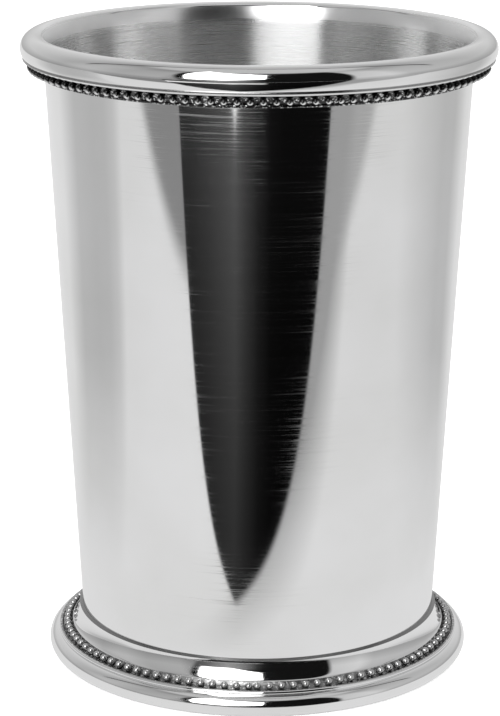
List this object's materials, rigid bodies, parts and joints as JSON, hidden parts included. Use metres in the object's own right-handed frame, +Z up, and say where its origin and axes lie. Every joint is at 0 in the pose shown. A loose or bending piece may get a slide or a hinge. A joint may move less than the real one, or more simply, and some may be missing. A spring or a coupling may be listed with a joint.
{
  "type": "julep cup",
  "caption": "Flared metal drinking cup with a round rim roll, beaded strips at rim and foot, and a low moulded foot.",
  "frame": {"origin": "centre of the cup's axis on the surface that the foot stands on", "axes": "+Z up along the cup's axis, towards the open rim; -Y is the side seen in the picture"},
  "size_m": [0.0824, 0.0824, 0.1116],
  "materials": {
    "polished_silver": "mirror polished silver plate with faint ringed polishing lines",
    "satin_silver": "satin, finely ringed",
    "solder": "smooth soft solder"
  },
  "bodies": {
    "root": {"cup_wall": "polished_silver", "floor_disc": "satin_silver", "rim_roll": "polished_silver", "rim_bead_strip": "polished_silver", "rim_solder": "solder", "foot_collar": "polished_silver", "foot_bead_strip": "polished_silver", "foot_ring": "polished_silver", "foot_solder": "solder", "floor_solder": "solder"}
  },
  "joints": []
}
